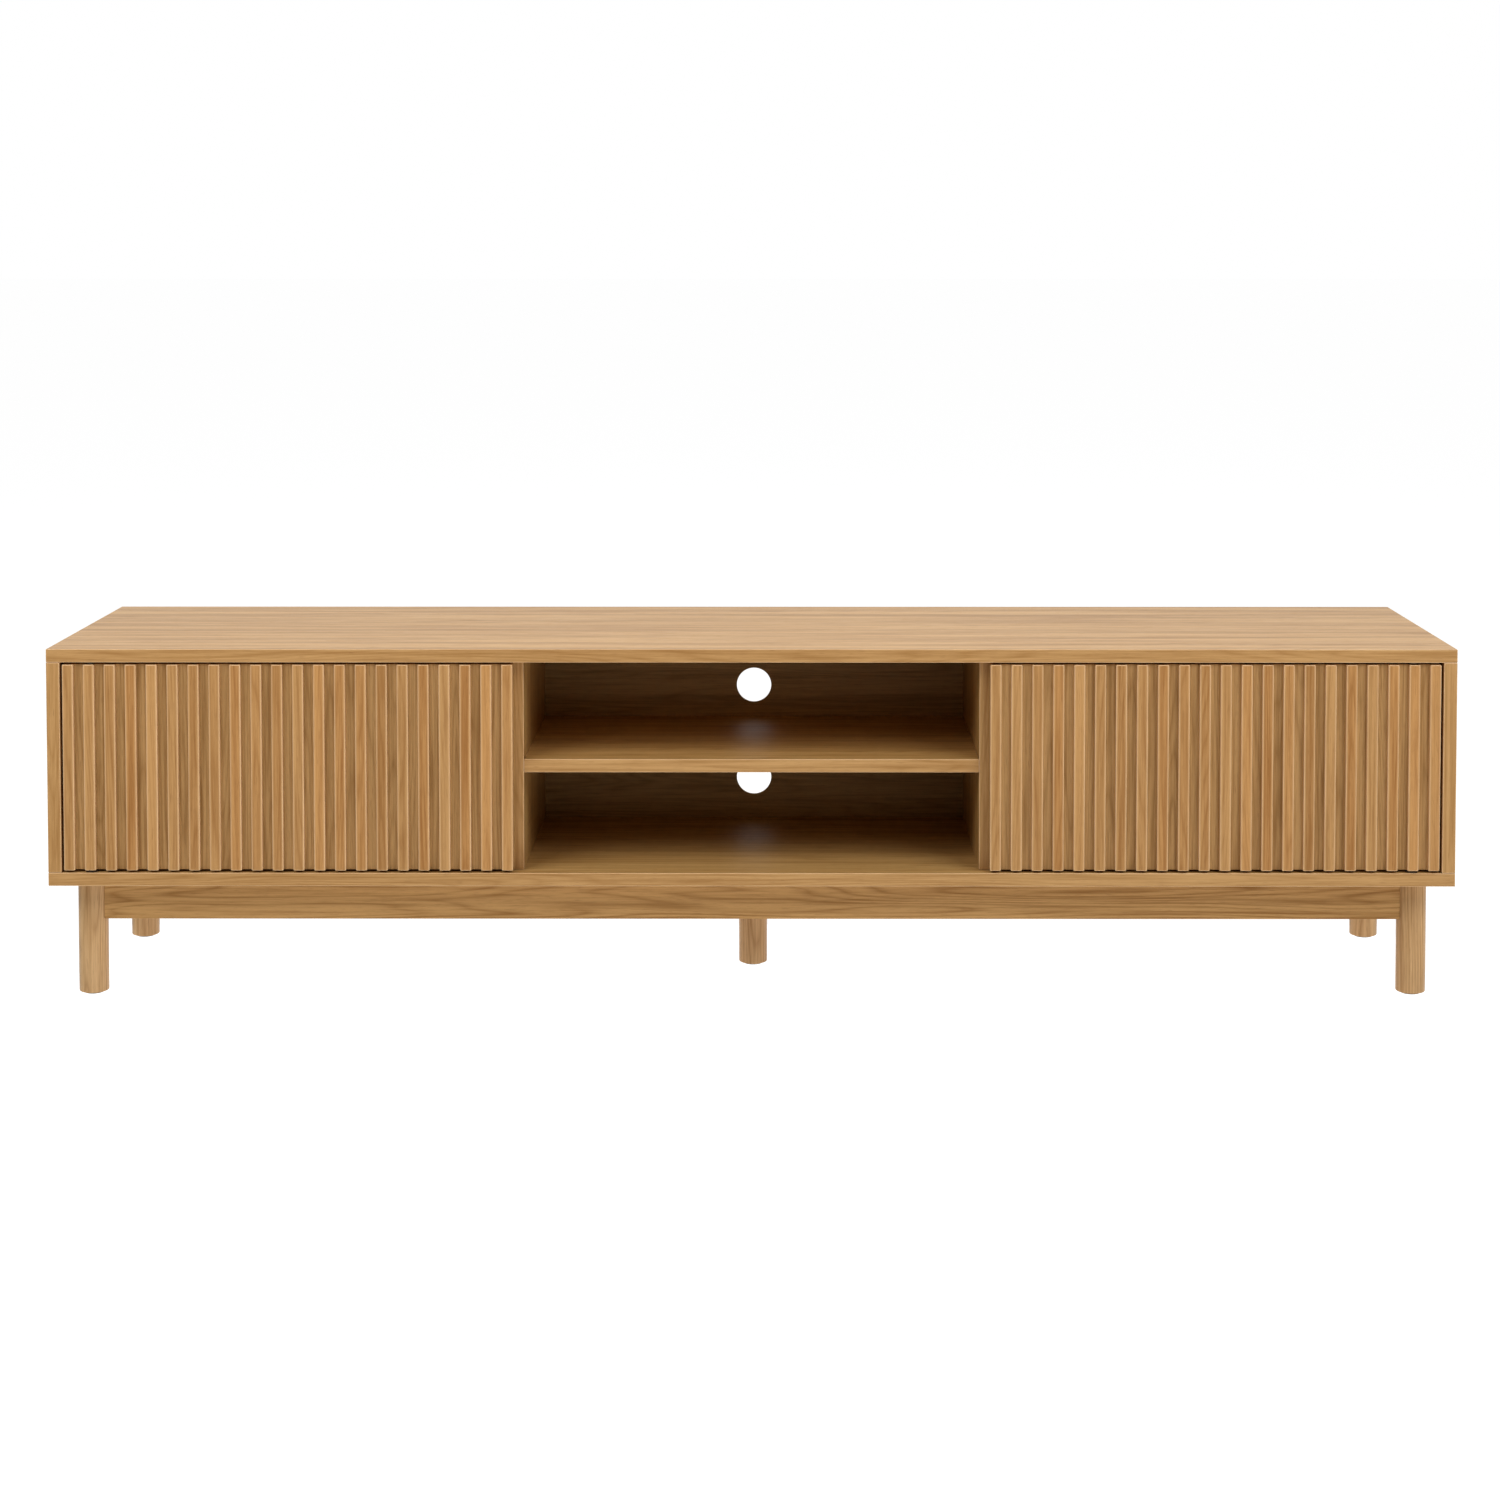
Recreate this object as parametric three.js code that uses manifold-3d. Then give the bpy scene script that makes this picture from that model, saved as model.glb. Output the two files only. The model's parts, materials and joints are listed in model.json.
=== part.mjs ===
// Media cabinet: an oak carcass on five round legs, with an open middle bay between two
// slatted doors that swing on pivot pins. The origin is on the floor below the middle of
// the cabinet, X runs along its width, the front faces -Y and Z is up. Millimetres.
import * as THREE from 'three';
import { mergeVertices } from 'three/addons/utils/BufferGeometryUtils.js';
import Module from 'manifold-3d';

const wasm = await Module();
wasm.setup();

// Overall size
const width = 1800;
const depth = 400;
const height = 457;
const legLength = 152; // floor to the underside of the bottom panel

// Carcass
const board = 17; // thickness of every panel, divider and shelf
const glueLine = 0.3; // gap left between pieces that touch
const middleBayWidth = 585;
const frontSetback = 20; // dividers and centre shelf, behind the front edge
const backThickness = 5;
const cableSpace = 60; // behind the back panel
const grooveDepth = 6; // that the back panel sits in
const grooveClearance = 0.3;
const cableHoleDiameter = 48;
const cableHoleHeights = [57, 187]; // centres above the bottom panel
const lowerBayHeight = 126; // below each shelf

// Doors
const doorSideGap = 3.3; // to the side panel
const doorEndGap = 3; // to the top and bottom panel
const doorLap = 4.4; // over the divider's front edge
const backingThickness = 12;
const slatThickness = 7;
const slatWidth = 14;
const slatPitch = 26.6; // nearly: the slats share the door's width evenly

// Door pivots
const pivotClearance = 0.3;
const pivotPinRadius = 3;
const pivotRootRadius = 4; // the thicker half, fast in the door
const pivotRootLength = 20;
const pivotPinEngagement = 6;
const bushWall = 2.7;
const bushFloor = 1.5;
const bushFlangeRadius = 8;
const bushFlangeThickness = 0.8;
const doorTailClearance = 5; // from the swinging door to the side shelves

// Magnetic catches
const catchSize = [46, 20, 14];
const strikeSize = [38, 1.2, 12];
const catchFromDivider = 12;
const catchAirGap = 0.5;

// Shelf pins
const shelfPinRadius = 2.5;
const shelfPinHeadRadius = 3.5;
const shelfPinHole = 7; // depth in the upright panel
const shelfPinHead = 8; // length under the shelf
const shelfPinInset = 40; // from the shelf's front and rear edges
const pinHoleClearance = 0.2;

// Base
const legRadius = 19;
const legInset = 57; // leg axis, from the front and rear
const legSideInset = 43; // leg axis, from the end of the cabinet
const legEase = 1.5;
const glideRadius = 13;
const glideThickness = 2;
const railThickness = 20;
const railHeight = 54;
const braceReach = 45; // from the corner of the rails to the bend
const braceFlange = 30;
const braceThickness = 2.5;
const braceHeight = 36;
const boltRadius = 3;
const boltHeadRadius = 6;
const boltHeadThickness = 4;
const boltEngagement = 14; // in the leg
const boltClearance = 0.3;

// Places that several pieces share
const front = -depth / 2;
const rear = depth / 2;
const floorTop = legLength + board;
const ceiling = height - board;
const sideInner = width / 2 - board;
const dividerInner = middleBayWidth / 2;
const dividerOuter = dividerInner + board;
const innerFront = front + frontSetback;
const backFront = rear - cableSpace - backThickness;
const shelfBottom = floorTop + lowerBayHeight;
const doorThickness = backingThickness + slatThickness;
const doorInner = dividerOuter - doorLap;
const doorOuter = sideInner - doorSideGap;
const doorWidth = doorOuter - doorInner;
const doorBottom = floorTop + doorEndGap;
const doorTop = ceiling - doorEndGap;
const slatCount = Math.round((doorWidth - slatWidth) / slatPitch) + 1;
const slatStep = (doorWidth - slatWidth) / (slatCount - 1);
const pivotFromEdge = slatStep + slatWidth / 2; // the pivot stands behind the second slat
const pivotX = doorOuter - pivotFromEdge;
const pivotY = front + doorThickness / 2;
const doorTailRadius = Math.hypot(pivotFromEdge, doorThickness / 2);
const sideShelfFront = pivotY + doorTailRadius + doorTailClearance;
const bushRadius = pivotPinRadius + pivotClearance + bushWall;
const bushDepth = pivotPinEngagement + pivotClearance + bushFloor;
const legX = width / 2 - legSideInset;
const legY = depth / 2 - legInset;
const railBottom = legLength - railHeight;
const railMiddle = legLength - railHeight / 2;

const round = 32; // facets of a leg or a cable hole
const fine = 20; // facets of a pin, bush or bolt

const up = new THREE.Vector3(0, 1, 0); // the axis that lathes and cylinders are made on

const finish = (color, roughness, metalness = 0) =>
  new THREE.MeshStandardMaterial({ color, roughness, metalness });
const oakPanel = finish(0xc79a67, 0.5);
const oakDark = finish(0x8a6238, 0.6);
const oakSlats = finish(0xc4986a, 0.5);
const oakBase = finish(0xc49d72, 0.55);
const steel = finish(0xa9adb0, 0.35, 0.9);
const nylon = finish(0xe9e6dd, 0.5);
const blackPlastic = finish(0x2a2a2a, 0.5);
const felt = finish(0x6b5a48, 0.95);

const cabinet = new THREE.Group();

function place(name, geometry, material, position, parent = cabinet) {
  const mesh = new THREE.Mesh(geometry, material);
  mesh.name = name;
  mesh.position.set(...position);
  parent.add(mesh);
  return mesh;
}

// A closed geometry as a solid that can be cut
function solid(geometry) {
  const bare = geometry.clone();
  bare.deleteAttribute('normal');
  bare.deleteAttribute('uv');
  const merged = mergeVertices(bare);
  const vertProperties = merged.attributes.position.array;
  const triVerts = new Uint32Array(merged.index.array);
  return new wasm.Manifold(new wasm.Mesh({ numProp: 3, vertProperties, triVerts }));
}

function cut(geometry, tools) {
  let result = solid(geometry);
  for (const tool of tools) {
    result = result.subtract(solid(tool));
  }
  const mesh = result.getMesh();
  const made = new THREE.BufferGeometry();
  made.setAttribute('position', new THREE.BufferAttribute(mesh.vertProperties, 3));
  made.setIndex(new THREE.BufferAttribute(mesh.triVerts, 1));
  return made;
}

// A cylinder that a drill would take out, from one point to another
function drill(radius, from, to, facets = fine) {
  const start = new THREE.Vector3(...from);
  const way = new THREE.Vector3(...to).sub(start);
  const tool = new THREE.CylinderGeometry(radius, radius, way.length(), facets);
  tool.translate(0, way.length() / 2, 0);
  tool.applyQuaternion(new THREE.Quaternion().setFromUnitVectors(up, way.normalize()));
  return tool.translate(...start);
}

function block(low, high) {
  const size = high.map((value, axis) => value - low[axis]);
  const middle = high.map((value, axis) => (value + low[axis]) / 2);
  return new THREE.BoxGeometry(...size).translate(...middle);
}

// A rectangular piece between two corners. Its cuts are given where they lie in the cabinet.
function addBoard(name, low, high, material, cuts = [], parent = cabinet) {
  const middle = high.map((value, axis) => (value + low[axis]) / 2);
  const away = middle.map((value) => -value);
  const size = high.map((value, axis) => value - low[axis]);
  const blank = new THREE.BoxGeometry(...size);
  const tools = cuts.map((tool) => tool.translate(...away));
  const geometry = tools.length ? cut(blank, tools) : blank;
  return place(name, geometry, material, middle, parent);
}

// A turned piece: profile of [radius, distance along its axis]
function turned(profile, facets) {
  const points = profile.map(([radius, along]) => new THREE.Vector2(radius, along));
  return new THREE.LatheGeometry(points, facets);
}

function aim(mesh, direction) {
  mesh.quaternion.setFromUnitVectors(up, new THREE.Vector3(...direction).normalize());
  return mesh;
}

// An outline seen from above, with a height
function upright(shape, tall) {
  const options = { depth: tall, bevelEnabled: false, curveSegments: round / 2 };
  return new THREE.ExtrudeGeometry(shape, options);
}

const sides = [
  ['left', -1],
  ['right', 1],
];
const ends = [
  ['front', -1],
  ['rear', 1],
];

// Runs between two distances from the middle, on the given side
function span(sign, near, far) {
  return sign < 0 ? [-far, -near] : [near, far];
}

// Shelf pins: each stands in a blind hole in an upright panel and points into the bay.
const shelfPins = [];
function addShelfPins(shelf, wallX, into, [frontEdge, rearEdge], label) {
  const z = shelfBottom - glueLine - shelfPinHeadRadius;
  const places = [frontEdge + shelfPinInset, rearEdge - shelfPinInset];
  ends.forEach(([end], index) => {
    shelfPins.push({ name: `${shelf}_${label}_${end}_pin`, at: [wallX, places[index], z], into });
  });
}

function shelfPinHoles(wallX, into) {
  const own = shelfPins.filter((pin) => pin.at[0] === wallX && pin.into === into);
  return own.map(({ at: [x, y, z] }) => {
    const radius = shelfPinRadius + pinHoleClearance;
    const bottom = x - into * (shelfPinHole + pinHoleClearance);
    return drill(radius, [x + into, y, z], [bottom, y, z]);
  });
}

function planShelfPins() {
  const centreEdges = [innerFront, backFront - glueLine];
  const sideEdges = [sideShelfFront, backFront - glueLine];
  for (const [side, sign] of sides) {
    addShelfPins('center_shelf', sign * dividerInner, -sign, centreEdges, side);
    addShelfPins(`${side}_shelf`, sign * dividerOuter, sign, sideEdges, 'inner');
    addShelfPins(`${side}_shelf`, sign * sideInner, -sign, sideEdges, 'outer');
  }
}

function addPinPieces() {
  const profile = [
    [0, -shelfPinHole],
    [shelfPinRadius, -shelfPinHole],
    [shelfPinRadius, glueLine],
    [shelfPinHeadRadius, glueLine],
    [shelfPinHeadRadius, shelfPinHead],
    [0, shelfPinHead],
  ];
  for (const { name, at, into } of shelfPins) {
    aim(place(name, turned(profile, fine), steel, at), [into, 0, 0]);
  }
}

// The groove that the back panel stands in, round the inside of the carcass
function backGroove(low, high) {
  const grooveFront = backFront - grooveClearance;
  const grooveRear = backFront + backThickness + grooveClearance;
  return block([low[0], grooveFront, low[1]], [high[0], grooveRear, high[1]]);
}

// The hole for a pivot bush. Facing is the way its mouth looks, up or down.
function bushHole(sign, level, facing) {
  const x = sign * pivotX;
  const bottom = level - facing * (bushDepth + pivotClearance);
  return drill(bushRadius + pivotClearance, [x, pivotY, level + facing], [x, pivotY, bottom]);
}

function addCarcass() {
  const grooveEnd = sideInner + grooveDepth;
  const groove = grooveDepth;
  addBoard(
    'top_panel',
    [-width / 2, front, ceiling],
    [width / 2, rear, height],
    oakPanel,
    [
      backGroove([-grooveEnd, ceiling - 1], [grooveEnd, ceiling + groove]),
      ...sides.map(([, sign]) => bushHole(sign, ceiling, -1)),
    ],
  );
  addBoard(
    'bottom_panel',
    [-width / 2, front, legLength],
    [width / 2, rear, floorTop],
    oakPanel,
    [
      backGroove([-grooveEnd, floorTop - groove], [grooveEnd, floorTop + 1]),
      ...sides.map(([, sign]) => bushHole(sign, floorTop, 1)),
    ],
  );
  const low = floorTop + glueLine;
  const high = ceiling - glueLine;
  for (const [side, sign] of sides) {
    const [x0, x1] = span(sign, sideInner, width / 2);
    const [g0, g1] = span(sign, sideInner - 1, grooveEnd);
    addBoard(`${side}_side_panel`, [x0, front, low], [x1, rear, high], oakPanel, [
      backGroove([g0, low - 1], [g1, high + 1]),
      ...shelfPinHoles(sign * sideInner, -sign),
    ]);
    const [d0, d1] = span(sign, dividerInner, dividerOuter);
    const dividerRear = backFront - glueLine;
    addBoard(`${side}_divider`, [d0, innerFront, low], [d1, dividerRear, high], oakPanel, [
      ...shelfPinHoles(sign * dividerInner, -sign),
      ...shelfPinHoles(sign * dividerOuter, sign),
    ]);
  }
}

function addBackPanel() {
  const edge = groovedEdge();
  const behind = backFront + backThickness;
  const holes = cableHoleHeights.map((above) => {
    const z = floorTop + above;
    return drill(cableHoleDiameter / 2, [0, backFront - 1, z], [0, behind + 1, z], round);
  });
  addBoard(
    'back_panel',
    [-sideInner - edge, backFront, floorTop - edge],
    [sideInner + edge, behind, ceiling + edge],
    oakDark,
    holes,
  );
}

// How far the back panel reaches into its groove
function groovedEdge() {
  return grooveDepth - grooveClearance;
}

function addShelves() {
  const top = shelfBottom + board;
  const shelfRear = backFront - glueLine;
  const half = dividerInner - glueLine;
  addBoard('center_shelf', [-half, innerFront, shelfBottom], [half, shelfRear, top], oakPanel);
  for (const [side, sign] of sides) {
    const [x0, x1] = span(sign, dividerOuter + glueLine, sideInner - glueLine);
    const low = [x0, sideShelfFront, shelfBottom];
    addBoard(`${side}_shelf`, low, [x1, shelfRear, top], oakPanel);
  }
}

// Plan of a door, its slats towards -Y, from its left edge at x = 0 and front at y = 0
function doorPlan() {
  const plan = new THREE.Shape();
  plan.moveTo(0, doorThickness);
  for (let index = 0; index < slatCount; index += 1) {
    const left = index * slatStep;
    if (index > 0) {
      plan.lineTo(left, slatThickness);
    }
    plan.lineTo(left, 0);
    plan.lineTo(left + slatWidth, 0);
    if (index < slatCount - 1) {
      plan.lineTo(left + slatWidth, slatThickness);
    }
  }
  plan.lineTo(doorWidth, doorThickness);
  return plan;
}

function pivotPin() {
  return turned(
    [
      [0, -pivotRootLength],
      [pivotRootRadius, -pivotRootLength],
      [pivotRootRadius, 0],
      [pivotPinRadius, 0],
      [pivotPinRadius, doorEndGap + pivotPinEngagement],
      [0, doorEndGap + pivotPinEngagement],
    ],
    fine,
  );
}

// A flanged cup, its flange against the panel and its mouth towards the door
function pivotBush() {
  const bore = pivotPinRadius + pivotClearance;
  return turned(
    [
      [0, bushDepth - bushFloor],
      [bore, bushDepth - bushFloor],
      [bore, -glueLine - bushFlangeThickness],
      [bushFlangeRadius, -glueLine - bushFlangeThickness],
      [bushFlangeRadius, -glueLine],
      [bushRadius, -glueLine],
      [bushRadius, bushDepth],
      [0, bushDepth],
    ],
    fine,
  );
}

// A door hangs in a group whose origin is on its pivot axis, so that it can be turned.
function addDoor(side, sign) {
  const door = new THREE.Group();
  door.position.set(sign * pivotX, pivotY, 0);
  cabinet.add(door);
  const leftEdge = (sign < 0 ? -doorOuter : doorInner) - sign * pivotX;
  const plan = upright(doorPlan(), doorTop - doorBottom);
  plan.translate(leftEdge, front - pivotY, doorBottom);
  const ledges = [
    ['bottom', doorBottom, floorTop, -1],
    ['top', doorTop, ceiling, 1],
  ];
  const holes = ledges.map(([, level, , out]) => {
    const deep = level - out * (pivotRootLength + pivotClearance);
    return drill(pivotRootRadius + pivotClearance, [0, 0, level + out], [0, 0, deep]);
  });
  place(`${side}_door`, cut(plan, holes), oakSlats, [0, 0, 0], door);
  for (const [end, level, panel, out] of ledges) {
    aim(place(`${side}_door_${end}_pin`, pivotPin(), steel, [0, 0, level], door), [0, 0, out]);
    const bushAt = [sign * pivotX, pivotY, panel];
    aim(place(`${side}_${end}_pivot_bush`, pivotBush(), nylon, bushAt), [0, 0, out]);
  }
  addCatch(side, sign, door);
}

function addCatch(side, sign, door) {
  const middleX = sign * (dividerOuter + catchFromDivider + catchSize[0] / 2);
  const strikeFront = front + doorThickness + glueLine;
  const catchFront = strikeFront + strikeSize[1] + catchAirGap;
  const catchTop = ceiling - glueLine;
  const catchLow = [middleX - catchSize[0] / 2, catchFront, catchTop - catchSize[2]];
  const catchHigh = [middleX + catchSize[0] / 2, catchFront + catchSize[1], catchTop];
  addBoard(`${side}_magnetic_catch`, catchLow, catchHigh, blackPlastic);
  const strikeX = middleX - sign * pivotX;
  const strikeMiddle = catchTop - catchSize[2] / 2;
  const strikeY = strikeFront - pivotY;
  addBoard(
    `${side}_strike_plate`,
    [strikeX - strikeSize[0] / 2, strikeY, strikeMiddle - strikeSize[2] / 2 - doorEndGap],
    [strikeX + strikeSize[0] / 2, strikeY + strikeSize[1], strikeMiddle + strikeSize[2] / 2 - doorEndGap],
    steel,
    [],
    door,
  );
}

function legProfile() {
  const top = legLength - glueLine;
  const bottom = glideThickness + glueLine;
  return [
    [0, bottom],
    [legRadius - legEase, bottom],
    [legRadius, bottom + legEase],
    [legRadius, top],
    [0, top],
  ];
}

function addLeg(name, x, y, holes = []) {
  const leg = turned(legProfile(), round).rotateX(Math.PI / 2);
  place(name, holes.length ? cut(leg, holes) : leg, oakBase, [x, y, 0]);
  const glide = turned(
    [
      [0, 0],
      [glideRadius, 0],
      [glideRadius, glideThickness],
      [0, glideThickness],
    ],
    round,
  );
  place(`${name}_glide`, glide.rotateX(Math.PI / 2), felt, [x, y, 0]);
}

// Plan of a rail along X. A scribed end is hollowed to fit round the leg that it meets, and
// its distance is the leg's axis; a square end's distance is the end itself.
function railPlan(start, startScribed, end, endScribed) {
  const half = railThickness / 2;
  const hollow = legRadius + glueLine;
  const angle = Math.asin(half / hollow);
  const toCorner = Math.sqrt(hollow * hollow - half * half);
  const from = start + (startScribed ? toCorner : 0);
  const to = end - (endScribed ? toCorner : 0);
  const plan = new THREE.Shape();
  plan.moveTo(from, -half);
  plan.lineTo(to, -half);
  if (endScribed) {
    plan.absarc(end, 0, hollow, Math.PI + angle, Math.PI - angle, true);
  } else {
    plan.lineTo(to, half);
  }
  plan.lineTo(from, half);
  if (startScribed) {
    plan.absarc(start, 0, hollow, angle, -angle, true);
  }
  return plan;
}

function addRail(name, plan, alongY, offset) {
  const tall = railHeight - glueLine;
  const at = alongY ? [offset, 0, railBottom] : [0, offset, railBottom];
  const rail = place(name, upright(plan, tall), oakBase, at);
  rail.rotation.z = alongY ? Math.PI / 2 : 0;
}

function addRails() {
  for (const [end, sign] of ends) {
    addRail(`${end}_rail`, railPlan(-legX, true, legX, true), false, sign * legY);
    const outer = legY - railThickness / 2 - glueLine;
    const half = sign < 0 ? railPlan(-outer, false, 0, true) : railPlan(0, true, outer, false);
    addRail(`center_rail_${end}`, half, true, 0);
  }
  for (const [side, sign] of sides) {
    addRail(`${side}_rail`, railPlan(-legY, true, legY, true), true, sign * legX);
  }
}

// Plan of a corner brace: a bent steel strip, both flanges flat on the rails' inner faces
function bracePlan(signX, signY, cornerX, cornerY) {
  const miter = braceThickness * Math.tan(Math.PI / 8);
  const insideX = cornerX - braceThickness;
  const insideY = cornerY - braceThickness;
  const outline = [
    [cornerX - braceReach - braceFlange, cornerY],
    [cornerX - braceReach, cornerY],
    [cornerX, cornerY - braceReach],
    [cornerX, cornerY - braceReach - braceFlange],
    [insideX, cornerY - braceReach - braceFlange],
    [insideX, cornerY - braceReach - miter],
    [cornerX - braceReach - miter, insideY],
    [cornerX - braceReach - braceFlange, insideY],
  ];
  return new THREE.Shape(outline.map(([x, y]) => new THREE.Vector2(signX * x, signY * y)));
}

// A corner leg with the brace behind it and the bolt that draws the leg into the corner
function addCorner(name, signX, signY) {
  const cornerX = legX - railThickness / 2 - glueLine;
  const cornerY = legY - railThickness / 2 - glueLine;
  const boltX = cornerX - braceReach / 2;
  const boltY = cornerY - braceReach / 2;
  const toLeg = Math.hypot(legX - boltX, legY - boltY) - legRadius;
  const direction = [signX * Math.SQRT1_2, signY * Math.SQRT1_2, 0];
  const along = (distance) => [
    signX * (boltX + distance * Math.SQRT1_2),
    signY * (boltY + distance * Math.SQRT1_2),
    railMiddle,
  ];
  const through = [along(-braceThickness * 2), along(braceThickness)];
  const brace = upright(bracePlan(signX, signY, cornerX, cornerY), braceHeight);
  brace.translate(0, 0, railMiddle - braceHeight / 2);
  const braceHole = drill(boltRadius + boltClearance, ...through);
  place(`${name}_brace`, cut(brace, [braceHole]), steel, [0, 0, 0]);

  const boltHole = drill(
    boltRadius + boltClearance,
    along(toLeg - legRadius / 2),
    along(toLeg + boltEngagement + boltClearance),
  );
  boltHole.translate(-signX * legX, -signY * legY, 0);
  addLeg(`${name}_leg`, signX * legX, signY * legY, [boltHole]);

  const headInside = -braceThickness - glueLine - boltHeadThickness;
  const bolt = turned(
    [
      [0, headInside],
      [boltHeadRadius, headInside],
      [boltHeadRadius, headInside + boltHeadThickness],
      [boltRadius, headInside + boltHeadThickness],
      [boltRadius, toLeg + boltEngagement],
      [0, toLeg + boltEngagement],
    ],
    fine,
  );
  aim(place(`${name}_leg_bolt`, bolt, steel, along(0)), direction);
}

planShelfPins();
addCarcass();
addBackPanel();
addShelves();
addPinPieces();
for (const [side, sign] of sides) {
  addDoor(side, sign);
}
for (const [end, signY] of ends) {
  for (const [side, signX] of sides) {
    addCorner(`${end}_${side}`, signX, signY);
  }
}
addLeg('center_leg', 0, 0);
addRails();

export default cabinet;
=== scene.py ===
"""The looks of an oak media cabinet: veneered carcass, two slatted doors and a turned-leg base."""

import json
import math

import bmesh
import bpy
from mathutils import Matrix, Vector


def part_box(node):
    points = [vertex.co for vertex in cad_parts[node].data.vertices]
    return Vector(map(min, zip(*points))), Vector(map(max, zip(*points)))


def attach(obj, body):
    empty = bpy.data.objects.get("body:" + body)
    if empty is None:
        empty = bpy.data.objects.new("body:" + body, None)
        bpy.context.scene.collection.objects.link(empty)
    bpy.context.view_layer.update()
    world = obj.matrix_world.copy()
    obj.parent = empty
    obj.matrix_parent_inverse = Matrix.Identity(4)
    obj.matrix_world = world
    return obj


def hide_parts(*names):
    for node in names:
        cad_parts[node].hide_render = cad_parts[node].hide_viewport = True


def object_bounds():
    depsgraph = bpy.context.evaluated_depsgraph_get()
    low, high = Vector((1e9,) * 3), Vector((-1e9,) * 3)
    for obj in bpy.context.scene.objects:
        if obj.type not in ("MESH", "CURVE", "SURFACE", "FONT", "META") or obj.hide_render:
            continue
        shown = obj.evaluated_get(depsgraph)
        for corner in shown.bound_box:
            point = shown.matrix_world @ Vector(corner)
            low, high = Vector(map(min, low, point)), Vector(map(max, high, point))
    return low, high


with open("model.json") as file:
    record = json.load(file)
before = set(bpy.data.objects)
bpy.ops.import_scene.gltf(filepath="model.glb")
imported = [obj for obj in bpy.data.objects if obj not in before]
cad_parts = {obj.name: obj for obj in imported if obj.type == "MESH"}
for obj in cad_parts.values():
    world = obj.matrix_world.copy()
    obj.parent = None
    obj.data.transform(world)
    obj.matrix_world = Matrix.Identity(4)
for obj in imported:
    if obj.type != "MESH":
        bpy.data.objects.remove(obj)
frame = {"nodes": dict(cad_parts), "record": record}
cad_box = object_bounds()

MM = 0.001

# ---------------------------------------------------------------- sizes, in metres

EDGE = 0.8 * MM  # rounding of a panel's edges
SLAT_EDGE = 1.0 * MM
SLATS = 22  # on each door
SLAT_WIDTH = 14 * MM
SLAT_DEPTH = 7 * MM
SLAT_HIGHLIGHT_REACH = 3.2 * MM  # how far the painted highlight along its edges reaches
GLUE = 0.05 * MM  # left between pieces that are glued flat on each other
CABLE_HOLE = 48 * MM
LEG_EASE = 1.5 * MM
GLIDE_EASE = 0.6 * MM
LEG_ROUND = 96  # facets round a leg or a cable hole
GLIDE_ROUND = 48
BACK_EDGE = 0.4 * MM  # rounding of the back panel's rims
BACKING_EDGE = 0.6 * MM

CATCH_EAR = 9 * MM
CATCH_EAR_INSET = 4 * MM  # in the depth, from the case's front and rear
CATCH_EAR_THICKNESS = 2.6 * MM
CATCH_EAR_EDGE = 0.6 * MM
CATCH_EDGE = 0.8 * MM
CATCH_POLE_SPACE = 3.2 * MM  # from the case's middle to each pole
CATCH_POLE_THICKNESS = 1.6 * MM
CATCH_POLE_INSET = 3 * MM  # from the case's ends
CATCH_POLE_REACH = 1 * MM  # in front of the case
CATCH_POLE_EDGE = 0.15 * MM
CATCH_RIM = 2.2 * MM  # round the hollow in the case's bottom
CATCH_HOLLOW = 0.6 * MM

BRACE_THICKNESS = 2.5 * MM
BRACE_SCREW_ALONG = 14 * MM  # from the flange's free end
BRACE_SCREW_INSET = 9 * MM  # from its top and bottom
STRIKE_SCREW_INSET = 5 * MM
STRIKE_SINK = 0.3 * MM  # the heads sink in, so that the catch's poles close flat on the plate

# Screw heads, as radius and rise
CATCH_SCREW = (2.9 * MM, 1.4 * MM)
STRIKE_SCREW = (2.6 * MM, 0.5 * MM)
BRACE_SCREW = (3.6 * MM, 1.8 * MM)

# Brightness of the studio, as a surface of the cabinet sees it
SKY = {"room": 0.06, "sheen": 0.006, "shine": 0.64, "backdrop": 0.75, "far_floor": 0.7, "near_floor": 0.5}

FRONT = cad_box[0].y
CARCASS = "carcass"
SIDES = (("left", -1), ("right", 1))
ENDS = (("front", -1), ("rear", 1))


# ---------------------------------------------------------------- camera, floor and light

def add_camera():
    data = bpy.data.cameras.new("camera")
    data.lens = 65.0
    data.sensor_width = 36.0
    data.shift_x = -0.0176
    data.shift_y = -0.26
    data.clip_end = 100
    camera = bpy.data.objects.new("camera", data)
    camera.location = (0.0395, FRONT - 3.431, 0.982)
    camera.rotation_euler = (math.radians(90 - 2.6), 0, math.radians(0.125))
    bpy.context.scene.collection.objects.link(camera)
    bpy.context.scene.camera = camera


def add_ground(name, size, base, glow):
    """A sheet of matt paper on the ground, with a faint light of its own."""
    bm = bmesh.new()
    bmesh.ops.create_grid(bm, x_segments=1, y_segments=1, size=0.5)
    bmesh.ops.scale(bm, vec=(size[0], size[1], 1), verts=bm.verts)
    bmesh.ops.translate(bm, vec=(0, 0, -0.2 * MM), verts=bm.verts)
    mesh = bpy.data.meshes.new(name)
    bm.to_mesh(mesh)
    bm.free()
    sheet = bpy.data.objects.new(name, mesh)
    bpy.context.scene.collection.objects.link(sheet)
    paper = Shader(bpy.data.materials.new(f"{name}_paper"))
    paper.set("Base Color", (base, base, base, 1))
    paper.set("Roughness", 0.9)
    paper.set("Specular IOR Level", 0.0)
    paper.set("Emission Color", (1, 1, 1, 1))
    paper.set("Emission Strength", glow)
    mesh.materials.append(paper.owner)
    return sheet


def add_floor():
    """Pale paper that only the camera sees, since the sky stands for the light that it throws back,
    and the shaded patch below the cabinet, which only the cabinet sees."""
    paper = add_ground("floor", (120, 120), 0.3, 0.96)
    paper.visible_diffuse = False
    paper.visible_glossy = False
    patch = add_ground("shaded_floor", (cad_box[1].x * 2, cad_box[1].y * 2), 0.3, 0.85)
    patch.visible_camera = False


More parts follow.
